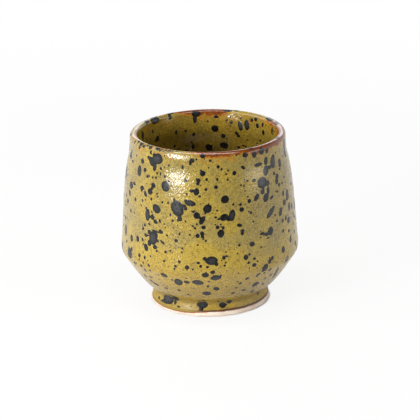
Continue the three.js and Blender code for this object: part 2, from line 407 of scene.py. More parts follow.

# %% [markdown]
# ## Drops of black glaze
#
# The spatter was flicked from a brush over the unfired coat. In the kiln each drop sank in and left a low,
# smooth island. A texture could paint them, but then they would be flat from the side. So each drop is a
# flattened ball: its upper half is a low dome, its lower half is sunk in the glaze, and its rim lies just
# under the surface. A fine ball is copied for the large drops and a plain one for the hundreds of small
# ones. Each copy is stretched, given an uneven outline and laid round the wall by its turn and its distance
# along the glaze line. The attribute melt runs from 0 in the middle of a drop to 1 at its rim. A second
# attribute is 1 in the middle of the widest drops, and fades towards the rim and in smaller ones. It places
# a paler middle, partly sooty glaze and partly painted sheen.

# %% Balls for the drops
def ball(name, segments, rings):
    """A mesh of a round ball, to be copied."""
    bm = bmesh.new()
    bmesh.ops.create_uvsphere(bm, u_segments=segments, v_segments=rings, radius=1)
    mesh = bpy.data.meshes.new(name)
    bm.to_mesh(mesh)
    bm.free()
    return mesh


fine_ball = ball("fine_ball", 28, 10)
plain_ball = ball("plain_ball", 14, 4)
print("a large drop has", len(fine_ball.polygons), "faces, a small one", len(plain_ball.polygons))

# %% Laying a drop on the glaze
FLAT_SHARE = 0.7
RIM_START = 0.86
RIM_END = 0.99
DOME = 0.05 * MM
FLATTENED = 0.75
SUNK_RIM = 0.02 * MM
SUNK_BASE = 0.2 * MM
SPREAD = 1.19
WAVES_ROUND_RIM = 2, 3, 4, 5
# The paler middle of the widest drops, set by these widths and shares, is partly soot and partly painted
# sheen.
SOOT_AND_SHEEN_WIDTHS = 3.2 * MM, 6.4 * MM
SOOT_AND_SHEEN_SHARES = 0.2, 0.85
dice = random.Random(11)


def on_glaze(distance):
    """Point and direction of the glaze line at a distance from its lower edge."""
    low, high = 0, len(travelled) - 1
    while high - low > 1:
        middle = (low + high) // 2
        low, high = (middle, high) if travelled[middle] <= distance else (low, middle)
    share = (distance - travelled[low]) / (travelled[high] - travelled[low])
    along = direction_at(low).lerp(direction_at(high), share).normalized()
    return glaze_line[low].lerp(glaze_line[high], share), along


def lay_drop(bm, ball_mesh, turn, distance, across, along, lean, unevenness=0.05):
    """Adds a drop at a turn from the front and a distance along the glaze."""
    melt = bm.verts.layers.float["melt"]
    soot_and_sheen = bm.verts.layers.float["soot_and_sheen"]
    wide = eased(max(across, along), *SOOT_AND_SHEEN_WIDTHS)
    waves = []
    for n in WAVES_ROUND_RIM:
        size = unevenness * dice.uniform(0.2, 1) / (n - 1)
        waves.append((n, size, dice.uniform(0, 2 * pi)))
    first = len(bm.verts)
    bm.from_mesh(ball_mesh)
    bm.verts.ensure_lookup_table()
    for vertex in bm.verts[first:]:
        angle = atan2(vertex.co.y, vertex.co.x)
        ring = hypot(vertex.co.x, vertex.co.y)
        height = vertex.co.z
        at_rim = eased(ring, FLAT_SHARE, RIM_END)
        rim_share = (RIM_START + (1 - RIM_START) * at_rim) * min(ring / FLAT_SHARE, 1)
        reach = rim_share * (1 + sum(size * cos(n * angle + start) for n, size, start in waves))
        u = SPREAD * reach * cos(angle) * across / 2
        v = SPREAD * reach * sin(angle) * along / 2
        sideways = u * cos(lean) - v * sin(lean)
        upwards = u * sin(lean) + v * cos(lean)
        point, direction = on_glaze(min(max(distance + upwards, travelled[1]), travelled[-2]))
        domed = DOME * (FLATTENED + (1 - FLATTENED) * max(height, 0)) if height > 0 else -SUNK_BASE
        lift = domed * (1 - at_rim) - SUNK_RIM * at_rim
        radius = point.x + lift * direction.y
        swing = turn + sideways / point.x
        height_there = point.y - lift * direction.x
        vertex.co = thrown(Vector((radius * sin(swing), -radius * cos(swing), height_there)))
        vertex[melt] = rim_share
        # A paler middle in the widest drops: partly sooty glaze, partly painted sheen.
        vertex[soot_and_sheen] = wide * (1 - eased(rim_share, *SOOT_AND_SHEEN_SHARES))


def start_spatter():
    """An empty bmesh for drops, with their two attributes."""
    bm = bmesh.new()
    bm.verts.layers.float.new("melt")
    bm.verts.layers.float.new("soot_and_sheen")
    return bm


print(f"drops can lie along {travelled[-1] / MM:.0f} mm of glaze")

# %% [markdown]
# ## The larger drops, from the frame
#
# The frame holds the larger drops as thin ovals. Each is measured where it lies: its middle gives the turn
# and the distance along the glaze, and the spread of its outer corners gives the two widths and the lean,
# as the axes of an ellipse. A drop laid by these numbers covers the frame's oval, but has a soft dome and a
# lively outline.

# %% Measuring a drop of the frame
def turned_by(turn, start):
    """The angle from one turn to another, between minus and plus half a circle."""
    return (turn - start + pi) % (2 * pi) - pi


def measure_drop(node):
    """Turn, distance, two widths and lean of one of the frame's drops."""
    corners = [vertex.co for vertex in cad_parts[node].data.vertices]
    middle = sum(corners, Vector()) / len(corners)
    turn = atan2(middle.x, -middle.y)
    beside = Vector((hypot(middle.x, middle.y), middle.z))
    nearest = index_of(beside)
    along = direction_at(nearest)
    flat = []
    for co in corners:
        radius = hypot(co.x, co.y)
        upwards = (Vector((radius, co.z)) - glaze_line[nearest]).dot(along)
        flat.append(Vector((turned_by(atan2(co.x, -co.y), turn) * radius, upwards)))
    rim = [flat[i] for i in geometry.convex_hull_2d(flat)]
    centre = sum(rim, Vector((0, 0))) / len(rim)
    xx = sum((p.x - centre.x) ** 2 for p in rim) / len(rim)
    yy = sum((p.y - centre.y) ** 2 for p in rim) / len(rim)
    xy = sum((p.x - centre.x) * (p.y - centre.y) for p in rim) / len(rim)
    spread = sqrt(((xx - yy) / 2) ** 2 + xy ** 2)
    mean = (xx + yy) / 2
    lean = atan2(2 * xy, xx - yy) / 2
    widths = [2 * sqrt(2 * max(mean + spread, 0)), 2 * sqrt(2 * max(mean - spread, 0))]
    return turn, travelled[nearest] + centre.y, *widths, lean


outer_nodes = sorted(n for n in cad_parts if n.startswith("splash_"))
inside_nodes = sorted(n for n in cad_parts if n.startswith("inside_splash_"))
outer_spatter_bm = start_spatter()
inside_spatter_bm = start_spatter()
for node in outer_nodes:
    lay_drop(outer_spatter_bm, fine_ball, *measure_drop(node))
for node in inside_nodes:
    lay_drop(inside_spatter_bm, fine_ball, *measure_drop(node))
print("drops of the frame:", len(outer_nodes), "outside,", len(inside_nodes), "inside")

# %% [markdown]
# ## Smaller drops and the arms of larger ones
#
# The front of the real pot has many drops that are too small for the frame, and some of the large ones have
# arms, tails and side lobes. They were read off the pot, as a turn in degrees, a place up the glaze in
# percent (100 is the crest of the lip, 200 the middle of the floor), a width and a length in millimetres
# and, where a drop leans, an angle in degrees. The lip is so tightly rounded that a drop there needs the
# fine ball to follow it.

# %% Small drops on the front
FRONT_DROPS = [
    # the upper wall, left of the middle
    (-47, 92.5, 3.4, 1.8, -20), (-44.3, 91.2, 3.6, 4.2, 10), (-41.7, 89.3, 2.2, 4.6),
    (-42, 94.9, 2.4, 1.6), (-55.2, 89.6, 2.3, 2.4), (-51, 85.6, 2.0, 2.1), (-38.8, 85.7, 1.2, 1.2),
    (-47.3, 82.7, 1.7, 1.4), (-42.2, 83, 1.0, 1.1), (-39.5, 83.2, 1.1, 1.1), (-35.9, 88.5, 1.1, 1.4),
    (-35.9, 85.8, 0.9, 1.4), (-29.2, 91, 0.9, 1.1), (-32, 84.8, 1.2, 1.4), (-40.9, 78.9, 2.6, 2.3),
    (-42.2, 77, 1.5, 2.6, -30), (-43.5, 75.2, 2.9, 2.8, 20), (-47.6, 73, 1.8, 2.4, 30),
    (-51.8, 75.6, 2.7, 2.2, 15), (-62, 76, 2.4, 1.4, -10), (-67.8, 69.5, 2.0, 2.6, 20),
    (-58.8, 67.9, 1.6, 1.8), (-57.4, 84, 2.9, 4.8, 8), (-70, 86.6, 1.6, 1.3), (-74.5, 91, 1.8, 2.2),
    (-64, 91, 1.2, 0.9), (-71, 64.2, 2.0, 2.6), (-75, 66.5, 1.6, 1.4), (-36.5, 73.5, 0.9, 0.9),
    (-11.5, 94.9, 2.2, 2.1), (-12.8, 93.4, 1.3, 2.0), (-18.5, 91, 1.1, 1.6), (-16, 84.1, 1.6, 1.7),
    (-4, 88.2, 2.4, 2.6), (-5.2, 89.7, 0.9, 0.9), (-6.9, 84.4, 1.9, 2.0), (-7.3, 82.8, 1.6, 1.5),
    (-1.2, 85, 1.2, 1.3), (-1.9, 79.8, 1.3, 1.3), (-11.6, 78.8, 1.9, 1.5, -10), (-10, 79, 1.6, 1.2),
    (-8.3, 78.6, 2.5, 3.2), (-15, 77, 1.1, 1.0), (-6, 76.2, 1.2, 1.0), (-23.6, 73.3, 1.2, 1.5),
    # the lip, seen from the front
    (-59.5, 98.2, 2.4, 1.8), (-60, 96.3, 1.6, 1.6), (-55.3, 97.6, 2.2, 1.2), (-48, 98.3, 2.2, 1.8),
    (-46, 95.9, 1.2, 1.8), (-40.5, 98.6, 3.0, 1.6), (-86, 98.5, 2.4, 1.6), (-4, 97.3, 2.3, 1.9),
    (33.5, 99.4, 3.4, 1.4), (67, 100, 3.4, 1.8),
    # the upper wall, right of the middle
    (27.5, 96.3, 2.6, 2.3), (35.2, 95.6, 2.5, 2.8), (42, 96.4, 3.1, 3.0), (47.5, 95.7, 1.9, 2.4),
    (38.3, 89.6, 4.3, 1.7, 2), (45.9, 90.5, 2.4, 3.6, -5), (18.6, 87.5, 1.8, 2.0),
    (25.5, 89.8, 2.3, 1.4, -35), (7.1, 91.5, 1.5, 1.5), (12.6, 87.4, 0.9, 0.9), (14.1, 89.2, 1.0, 1.0),
    (9.5, 90.1, 1.0, 1.0), (1.6, 94.9, 1.2, 1.1), (0.3, 91.2, 0.9, 0.9), (13.3, 84.4, 1.0, 1.0),
    (33, 82, 2.0, 1.6), (5, 80.9, 1.7, 1.7), (6.2, 84.9, 1.1, 1.5), (48.7, 86.5, 2.6, 1.8),
    (54, 77.9, 2.4, 2.8), (55.2, 80.2, 2.4, 2.6, -10), (56.2, 75.4, 1.8, 1.6), (60.4, 75.4, 1.6, 1.1),
    (62, 86.2, 2.6, 3.8, -15), (60.2, 83.2, 1.5, 1.1), (64.5, 77.9, 1.6, 1.3), (44.3, 78.7, 2.4, 2.6),
    (39.8, 76.6, 1.4, 1.6), (39, 75, 2.4, 2.2), (44, 74.6, 1.7, 4.0, -8), (60.2, 69.7, 2.0, 2.4),
    (66.3, 67.6, 3.2, 4.8), (64.5, 65.6, 1.8, 1.6), (52.5, 82.3, 1.7, 1.5), (53.3, 72.3, 1.3, 1.0),
    (46.8, 70.5, 2.6, 1.3, 25), (26.8, 74.2, 0.9, 0.7), (27.5, 82.5, 1.1, 0.8), (24.7, 80.2, 0.9, 0.8),
    (76, 93, 3.0, 6.8), (86, 66.2, 2.4, 3.6), (77, 71, 2.0, 1.8),
    # the middle of the wall, left
    (-8.1, 65.9, 3.0, 3.0), (-9.4, 68.1, 0.8, 0.7), (-6, 64.7, 1.4, 1.2), (-4.8, 63.2, 2.3, 3.6, -25),
    (-3.6, 65, 1.8, 1.0, 15), (-3.8, 59.6, 2.0, 1.6), (-4.8, 56.2, 1.9, 2.0), (-4.6, 54.6, 1.6, 1.4),
    (-4, 53.3, 1.0, 0.8), (-7.7, 55, 1.7, 2.1), (-40.4, 61.8, 2.4, 2.6), (-43, 61.5, 1.6, 1.4),
    (-37.7, 59.7, 2.4, 1.9), (-34.2, 60.6, 1.3, 1.6), (-43.1, 57.5, 1.2, 1.1), (-41.2, 64.5, 0.9, 1.1),
    (-46.3, 65.6, 1.3, 1.3), (-64.5, 60.3, 1.5, 1.7), (-30.7, 59.5, 0.8, 0.8), (-47.2, 56.2, 1.4, 1.6),
    (-48.8, 53.9, 1.5, 1.4), (-33.4, 54.9, 2.5, 1.9, -15), (-37.5, 54.5, 4.4, 1.1, -3),
    (-42.7, 53, 2.4, 2.2), (-46, 50.8, 2.0, 1.6), (-44.3, 51, 1.8, 0.8), (-36, 49.6, 1.9, 1.3, -35),
    (-32, 49.3, 2.8, 1.1, -30), (-22, 51.5, 1.6, 1.5), (-19.7, 55.2, 1.0, 1.2),
    (-17.8, 47.6, 1.0, 1.1, -40), (-37.7, 45.8, 2.4, 2.0, 20), (-36.3, 43.9, 1.1, 1.1),
    (-29.5, 44.4, 1.3, 1.3), (-49.1, 47.8, 1.4, 1.4), (-54.2, 47, 2.2, 2.8, 15),
    (-61.8, 45.4, 2.4, 3.2, 12), (-51.5, 38.4, 1.7, 2.0), (-61, 39.6, 1.6, 1.8), (-69.5, 41.8, 1.3, 1.3),
    (-72.5, 47.2, 3.0, 5.0, 5), (-42, 71.4, 1.2, 1.5), (-50.5, 69.1, 1.2, 1.4), (-15.6, 69.3, 1.5, 1.8),
    (-17, 70.6, 2.4, 1.4, 20), (-19.4, 63.7, 2.0, 2.4, 20), (-24.6, 62, 1.2, 1.2), (-26.3, 65, 1.0, 1.2),
    (-28.5, 53.6, 1.0, 1.1), (-11.3, 68.1, 0.8, 0.7), (-20.7, 62.3, 0.9, 0.9),
    (-15.2, 73.2, 1.9, 1.4, -20), (-10.9, 60.2, 1.1, 0.9), (-9.4, 59, 1.1, 1.0), (-8.2, 61.3, 1.0, 0.9),
    (-12.8, 55.3, 0.9, 0.9), (-7.6, 50, 0.8, 0.9), (-37.3, 52.3, 2.2, 3.0), (-42.5, 47.2, 2.4, 2.8),
    (-32.6, 71, 1.1, 1.2), (-28.2, 71.3, 1.0, 1.0), (-78.7, 33.2, 2.0, 1.8),
    # the middle of the wall, right
    (5.3, 59.5, 1.7, 1.7), (8.9, 59.1, 1.2, 1.6), (7.4, 61, 0.9, 0.9), (3.9, 60.9, 0.8, 0.7),
    (4.2, 64.9, 1.3, 1.0), (6.6, 64, 1.9, 1.0, 10), (12.6, 63.9, 2.0, 2.6), (5.4, 68.5, 1.0, 0.9),
    (22, 67.8, 2.0, 2.2, -20), (21.3, 70.6, 1.3, 1.2), (19.9, 59.6, 2.6, 1.5, -12),
    (22.1, 56.4, 1.6, 1.4), (21.6, 55, 1.6, 1.6), (28.2, 48.2, 2.6, 2.2), (19.2, 48.8, 1.1, 1.3),
    (27.8, 71.7, 1.8, 1.9), (33.6, 72.8, 2.2, 3.6, -40), (36.4, 52.6, 2.4, 1.6),
    (39.8, 51.6, 2.6, 1.7, -5), (41, 49.4, 1.7, 0.8), (55, 60.7, 2.3, 4.0, -25), (50.3, 56.8, 1.6, 1.1),
    (48.8, 60.3, 1.2, 1.0), (56.7, 55.4, 1.7, 1.7), (60.9, 55.9, 1.9, 2.3, -10), (64.8, 53.6, 2.8, 3.0),
    (64, 47.8, 1.9, 1.5), (56.3, 49.9, 1.8, 1.7), (54.8, 39.7, 2.6, 2.9), (60.7, 64.6, 3.0, 2.6, -10),
    (67.7, 60.5, 2.6, 3.8), (73, 59.3, 2.0, 3.0), (65.6, 42.8, 2.2, 3.2, -15), (10.2, 45.9, 0.8, 0.8),
    (28.5, 65.4, 1.2, 1.4), (78, 34.3, 2.6, 2.4), (74.5, 37.7, 2.0, 2.4), (73.8, 44.8, 1.8, 1.6),
    (73, 49.5, 1.4, 1.4),
    # the belly, the bowl and the foot, left
    (-14.6, 37.5, 2.0, 2.0), (-19.7, 40.1, 1.4, 1.4), (-22.3, 37.5, 1.2, 1.2), (-30.4, 39.2, 1.2, 1.2),
    (-16.1, 27.1, 2.7, 2.0, -10), (-1.8, 24.2, 1.3, 1.6), (-1, 28.5, 1.2, 1.0), (-18.2, 15.5, 1.5, 1.2),
    (-24.5, 18.6, 1.7, 1.4), (-26.6, 27.4, 1.1, 1.1), (-36.3, 17.7, 2.0, 1.2, -10), (-38, 3.2, 1.3, 2.8),
    (-37.2, 5.4, 3.6, 2.4), (-33.2, 0.9, 1.5, 1.2), (-63, 1.5, 1.8, 1.4), (-53, 0.7, 4.6, 2.6),
    (-9.3, 1.4, 2.0, 2.8), (-10.2, 4, 2.4, 2.2), (-6.4, 4.5, 2.4, 2.4), (-6.8, 7.2, 2.2, 1.6),
    (-10.8, 7, 2.0, 1.4), (-46.2, 38.4, 1.4, 1.7), (-42.4, 34.7, 1.6, 1.3), (-47.5, 35.1, 1.0, 1.2),
    (-47.8, 30.2, 1.8, 1.8), (-42.5, 31.5, 1.0, 1.1), (-57.3, 32.2, 1.7, 2.2), (-50, 32.7, 1.5, 1.6),
    (-46.5, 24.9, 2.2, 1.3, -20), (-54, 23.7, 2.4, 1.4, -20), (-49.6, 20.7, 2.6, 1.8, -25),
    (-46, 19, 3.4, 1.8, -25), (-3.4, 42.6, 1.8, 1.7), (-1.7, 38.1, 1.3, 1.1), (-7.5, 40.3, 1.5, 1.2),
    (-5.9, 38.5, 1.4, 1.3), (-10.9, 36.6, 0.9, 0.8),
    # the belly, the bowl and the foot, right
    (1.5, 35.2, 2.2, 1.7, 10), (4.2, 21.8, 2.5, 3.0, 20), (8.7, 42.8, 1.6, 1.8), (10.6, 43.6, 1.2, 1.0),
    (9.7, 43.3, 1.0, 0.6), (23.3, 41.7, 2.3, 2.4), (28.9, 36.7, 2.2, 1.7), (29.2, 40.1, 1.6, 1.2),
    (25, 38.5, 1.4, 1.2), (41, 36.5, 1.8, 2.6, -30), (43.4, 37.8, 1.6, 1.9, -20),
    (33.3, 29.3, 1.7, 2.8, -45), (25.3, 28, 1.9, 1.8, 10), (42.5, 30.7, 2.0, 1.8, 15),
    (38.5, 29.3, 1.4, 1.4), (47.5, 25, 1.8, 1.9), (43, 23.7, 1.3, 1.2), (44.8, 18, 1.7, 1.9),
    (36.8, 13.6, 2.2, 2.2), (26.2, 17.5, 2.2, 1.2, 10), (18, 16.2, 1.9, 1.6, 15), (18.6, 5, 2.5, 2.2),
    (59.3, 32.4, 2.8, 4.6), (53.5, 24.7, 2.2, 9.4, 17), (25.8, 42.9, 1.3, 1.0), (56.5, 4.7, 1.9, 1.9),
    (3.9, 39.6, 1.8, 1.8), (6.4, 33, 1.6, 0.9, 25), (21.2, 24.7, 1.5, 1.8), (19.4, 21, 1.1, 1.2),
    (9.2, 38.6, 1.1, 1.0),
]
INSIDE_DROPS = [
    (190.9, 104.6, 1.8, 4.6), (229.4, 101.9, 5.4, 3.4), (228, 99.6, 5.0, 2.0), (213.3, 102.4, 1.8, 2.2),
    (213.4, 101.4, 1.2, 1.6), (211.3, 100.2, 3.6, 1.8), (192.2, 112.8, 1.6, 2.0),
    (228.6, 111.2, 2.2, 3.4, -20), (239, 101, 3.0, 2.0), (199.2, 110.4, 1.1, 1.2), (193.8, 117, 1.0, 1.2),
    (192.2, 119.5, 1.4, 3.0), (208.2, 110.3, 1.2, 2.2), (234.4, 106.7, 1.2, 2.0), (252, 106, 3.0, 4.4),
    (208.5, 117.8, 1.1, 1.5), (198, 121.5, 1.6, 1.6), (167, 113.9, 2.1, 2.6),
    (154.6, 111.8, 1.4, 2.2, 20), (153.2, 113.2, 1.6, 1.6), (150.6, 104, 0.9, 1.0),
    (132.4, 106, 2.0, 2.2), (135.2, 103.2, 2.0, 1.8), (139.4, 104, 1.8, 1.8),
    (124.2, 108.3, 1.7, 2.8, 12), (126, 104.7, 1.5, 1.9), (159.3, 106.5, 1.5, 1.8),
    (110, 105.2, 2.0, 2.8), (172.6, 104.2, 2.4, 1.3), (163.4, 105.6, 1.4, 1.2), (130, 113.2, 1.3, 1.2),
    (144.5, 114.7, 1.1, 1.1), (149.7, 118.2, 1.2, 1.1), (154, 119.4, 1.6, 1.4),
    # on the crest of the back lip
    (119.5, 100.7, 5.4, 2.0), (107, 100.6, 4.6, 1.8), (163.2, 100.9, 4.6, 1.6), (156, 100.4, 3.0, 1.0),
]
PERCENT_OUTSIDE = travelled[crest] / 100
PERCENT_INSIDE = (travelled[-1] - travelled[crest]) / 100
LIP_REACH = 5


def distance_of(percent):
    """Distance along the glaze of a place in percent."""
    return min(percent, 100) * PERCENT_OUTSIDE + max(percent - 100, 0) * PERCENT_INSIDE


def lay_listed(bm, turn, percent, across, along, lean=0):
    """Adds a drop that is written in degrees, percent and millimetres."""
    shape = fine_ball if abs(percent - 100) < LIP_REACH else plain_ball
    lay_drop(bm, shape, radians(turn), distance_of(percent), across * MM, along * MM, radians(lean))


for drop in FRONT_DROPS:
    lay_listed(outer_spatter_bm, *drop)
for drop in INSIDE_DROPS:
    lay_listed(inside_spatter_bm, *drop)
print("small drops:", len(FRONT_DROPS), "on the front,", len(INSIDE_DROPS), "inside")

# %% [markdown]
# ## Drops on the sides that were not seen
#
# The back and the rest of the inside were spattered by the same brush, so they get drops of the same mix:
# many small ones, few large ones, and now and then a second drop that ran into the first. The dice are
# seeded, so that the same drops fall each time. Thin streaks cross the lip at the front left. They are laid
# last, so that they don't change how the dice fall for the others.

# %% Scattered drops
LIP_STREAKS = [
    (-37, 98.3, 0.7, 2.6, -50), (-33.6, 98.5, 0.6, 2.6, -50), (-30.4, 98.7, 0.7, 2.4, -55),
    (-27.4, 98.9, 0.6, 2.2, -55), (-52, 98.9, 1.2, 2.0, -30), (-64.5, 98.7, 1.6, 1.5),
    (-69, 97.4, 1.0, 1.6), (-24.2, 99.2, 0.6, 1.8, -60),
]
BACK_TURNS, BACK_PERCENTS, BACK_DROPS = (74, 286), (2, 97), 190
NEAR_TURNS, NEAR_PERCENTS, NEAR_DROPS = (-85, 95), (102, 160), 90
DEEP_TURNS, DEEP_PERCENTS, DEEP_DROPS = (95, 275), (122, 160), 45
SMALLEST, WIDER, RARITY = 0.9, 2.3, 2.2
STRETCH = 0.8, 1.3
LEAN = -45, 45
PAIR_CHANCE = 0.25
PAIR_SHARE = 0.6
PAIR_RISE = 0.7


def scatter(bm, count, turns, percents):
    """Scatters drops over a stretch of turns and places."""
    for _ in range(count):
        turn = dice.uniform(*turns)
        percent = dice.uniform(*percents)
        width = SMALLEST + WIDER * dice.random() ** RARITY
        length = width * dice.uniform(*STRETCH)
        lean = dice.uniform(*LEAN)
        lay_listed(bm, turn, percent, width, length, lean)
        if dice.random() < PAIR_CHANCE:
            aside = dice.uniform(0, 2 * pi)
            beside = (turn + width * cos(aside), percent + PAIR_RISE * width * sin(aside))
            lay_listed(bm, *beside, PAIR_SHARE * width, PAIR_SHARE * length)


scatter(outer_spatter_bm, BACK_DROPS, BACK_TURNS, BACK_PERCENTS)
scatter(inside_spatter_bm, NEAR_DROPS, NEAR_TURNS, NEAR_PERCENTS)
scatter(inside_spatter_bm, DEEP_DROPS, DEEP_TURNS, DEEP_PERCENTS)
for drop in LIP_STREAKS:
    lay_listed(outer_spatter_bm, *drop)
outer_spatter = finish_mesh(outer_spatter_bm, "outer_spatter")
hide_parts(*outer_nodes)
inside_spatter = finish_mesh(inside_spatter_bm, "inside_spatter")
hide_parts(*inside_nodes)
for spatter in (outer_spatter, inside_spatter):
    print(spatter.name, len(spatter.data.polygons), "faces")

# %% [markdown]
# ## Building materials from nodes
#
# A fired glaze has no single colour, so every finish here is a small graph of noise and cell patterns on
# Object coordinates, which are metres on the pot itself. A few helpers keep the graphs short. They start a
# material, add a node, make a soft mask, do a step of arithmetic, lay one colour over another, and link the
# result to the shader. Two more make the patterns that the finishes share: clouds and specks.

# %% Helpers for nodes
def start_finish(name, fixed):
    """A new material with the sockets that are the same all over set on its shader."""
    finish = bpy.data.materials.new(name)
    finish.use_nodes = True
    shader = finish.node_tree.nodes["Principled BSDF"]
    for socket, value in fixed.items():
        shader.inputs[socket].default_value = value
    return finish, finish.node_tree, shader


def add(tree, kind, inputs, **options):
    """Adds a shader node, sets its options, and sets or links its inputs."""
    made = tree.nodes.new("ShaderNode" + kind)
    for option, value in options.items():
        setattr(made, option, value)
    for socket, value in inputs.items():
        if isinstance(value, bpy.types.NodeSocket):
            tree.links.new(value, made.inputs[socket])
        else:
            made.inputs[socket].default_value = value
    return made


def mask(tree, value, low, high, strength=1.0):
    """0 where the value is at low, and the full strength where it is at high."""
    inputs = {"Value": value, "From Min": low, "From Max": high, "To Min": 0.0, "To Max": strength}
    return add(tree, "MapRange", inputs, interpolation_type="SMOOTHSTEP").outputs["Result"]


def math(tree, operation, first, second):
    """One step of arithmetic."""
    return add(tree, "Math", {0: first, 1: second}, operation=operation).outputs["Value"]


def over(tree, amount, under, colour):
    """A colour laid over another by an amount."""
    mixed = add(tree, "Mix", {0: amount}, data_type="RGBA")
    for socket, value in ((6, under), (7, colour)):
        if isinstance(value, bpy.types.NodeSocket):
            tree.links.new(value, mixed.inputs[socket])
        else:
            mixed.inputs[socket].default_value = (*value, 1)
    return mixed.outputs[2]


def dress(tree, shader, colour, relief, depth, strength=1.0):
    """Gives a shader its colour, and a relief as bump."""
    tree.links.new(colour, shader.inputs["Base Color"])
    bump = add(tree, "Bump", {"Strength": strength, "Distance": depth, "Height": relief})
    tree.links.new(bump.outputs["Normal"], shader.inputs["Normal"])


print("helpers for nodes ready")


# %% Two patterns
def clouds(tree, place, size, detail=2.0):
    """Smooth noise with patches of about one size."""
    inputs = {"Vector": place, "Scale": 1 / size, "Detail": detail, "Roughness": 0.55}
    return add(tree, "TexNoise", inputs).outputs["Fac"]


def specks(tree, place, spacing, rarity, largest):
    """Round specks of uneven size, about one spacing apart where they are large."""
    cells = add(tree, "TexVoronoi", {"Vector": place, "Scale": 1 / spacing})
    chance = add(tree, "SeparateColor", {"Color": cells.outputs["Color"]}).outputs["Red"]
    reach = math(tree, "MULTIPLY", math(tree, "POWER", chance, rarity), largest)
    return mask(tree, math(tree, "SUBTRACT", reach, cells.outputs["Distance"]), -0.02, 0.06)


print("patterns ready: clouds and specks")

# %% [markdown]
# ## Ochre glaze
#
# The glaze is an iron-bearing satin ochre. Seen close it is a mix: olive clouds a centimetre wide that give
# way to honey on the bowl, which is partly its tone and partly painted shade above the foot, a grain of
# lighter and darker flecks, and brown iron specks. One picture wrapped round the pot could hold all this,
# but it would stretch and show a seam. Height on the pot places these changes instead, roughened by noise,
# so they run round it without an end.

# %% Body of the ochre glaze
OCHRE = (0.42, 0.29, 0.03)
OLIVE = (0.315, 0.236, 0.056)
STRAW = (0.54, 0.4, 0.085)
UMBER = (0.14, 0.08, 0.02)
HONEY = (0.37, 0.24, 0.012)
CLOUD, BLOTCH, GRAIN = 11 * MM, 2.2 * MM, 0.8 * MM
IRON_SPACING = 1.0 * MM
GOLDEN_HEIGHTS = 48 * MM, 32 * MM
HONEY_HEIGHTS = 34 * MM, 22 * MM


def glaze_body(tree, place, height, ochre, olive):
    """The colour of the thick glaze, with its grain, its iron specks, and honey on the bowl that is partly
    painted shade.
    """
    grain = clouds(tree, place, GRAIN, 4.0)
    golden = math(tree, "ADD", clouds(tree, place, CLOUD, 3.0), mask(tree, height, *GOLDEN_HEIGHTS, 0.2))
    colour = over(tree, mask(tree, golden, 0.4, 0.72), olive, ochre)
    # Honey on the bowl: partly a deeper tone of the glaze, partly painted shade above the foot.
    colour = over(tree, mask(tree, height, *HONEY_HEIGHTS, 0.75), colour, HONEY)
    colour = over(tree, mask(tree, grain, 0.5, 0.72, 0.6), colour, STRAW)
    colour = over(tree, mask(tree, grain, 0.5, 0.3, 0.55), colour, UMBER)
    colour = over(tree, mask(tree, clouds(tree, place, BLOTCH, 3.0), 0.52, 0.7, 0.4), colour, UMBER)
    iron = specks(tree, place, IRON_SPACING, 3.0, 0.45)
    return over(tree, math(tree, "MULTIPLY", iron, 0.8), colour, UMBER), grain, iron


print("honey sets in from", round(HONEY_HEIGHTS[0] / MM), "to", round(HONEY_HEIGHTS[1] / MM), "mm up the pot")

# %% [markdown]
# ### Thin and pooled glaze, and painted shade
#
# A glaze shows how thick it lies by its colour. On the corner of the belly it thins and lets amber specks
# through. The lower bowl is painted a little darker, as shade above the foot. The groove above the foot is
# darker still, partly glaze that pooled there and partly painted shade in the crease. The heights of corner
# and groove are taken from the outline, so that the colour stays with the shape.

# %% Corner, bowl and groove
AMBER = (0.45, 0.175, 0.012)
EMBER_SPACING = 1.2 * MM
CORNER_HEIGHT = BELLY_HEIGHT - 3.5 * MM
CORNER_REACH = 6 * MM
# Painted shade on the lower bowl: its middle height and how far it reaches.
BOWL_SHADE_HEIGHT, BOWL_SHADE_REACH = 14 * MM, (8 * MM, 2 * MM)
GROOVE_BETWEEN = 4 * MM, 12 * MM
near_groove = [p for p in outside_corners if GROOVE_BETWEEN[0] < p.y < GROOVE_BETWEEN[1]]
GROOVE_HEIGHT = min(near_groove, key=lambda p: p.x).y
GROOVE_REACH = 1.8 * MM, 0.2 * MM


def away_from(tree, value, middle):
    """How far a value is from a middle one."""
    return math(tree, "ABSOLUTE", math(tree, "SUBTRACT", value, middle), 0.0)


def thin_pooled_and_shaded(tree, place, height, colour):
    """Amber specks on the belly's corner, painted shade on the bowl, and a groove darkened by pooling and
    painted shade.
    """
    thin = mask(tree, away_from(tree, height, CORNER_HEIGHT), CORNER_REACH, 0.0)
    ember = math(tree, "MULTIPLY", specks(tree, place, EMBER_SPACING, 1.6, 0.42), thin)
    colour = over(tree, math(tree, "MULTIPLY", ember, 0.8), colour, AMBER)
    # The lower bowl is painted darker with umber, as shade above the foot.
    shaded = mask(tree, away_from(tree, height, BOWL_SHADE_HEIGHT), *BOWL_SHADE_REACH, 0.25)
    colour = over(tree, shaded, colour, UMBER)
    # The groove is darker, partly glaze that pooled there and partly painted shade in the crease.
    pooled_and_shaded = mask(tree, away_from(tree, height, GROOVE_HEIGHT), *GROOVE_REACH, 0.5)
    return over(tree, pooled_and_shaded, colour, UMBER)


print(f"corner at {CORNER_HEIGHT / MM:.1f} mm, groove at {GROOVE_HEIGHT / MM:.1f} mm")

# %% [markdown]
# ### Rust on the lip and the wiped edge
#
# Over the lip the coat is thin, and the iron breaks through, first as amber specks and then as rust. The
# coat is thick at the left and at the back right, where the rust is held back, and thinnest in the middle
# of the back. Its wiped edge on the foot is burnt to a dark line, except on the left, where a thin wash ran
# further down. A place on the pot is found by how squarely it faces a turn, which is a dot product with
# that direction.

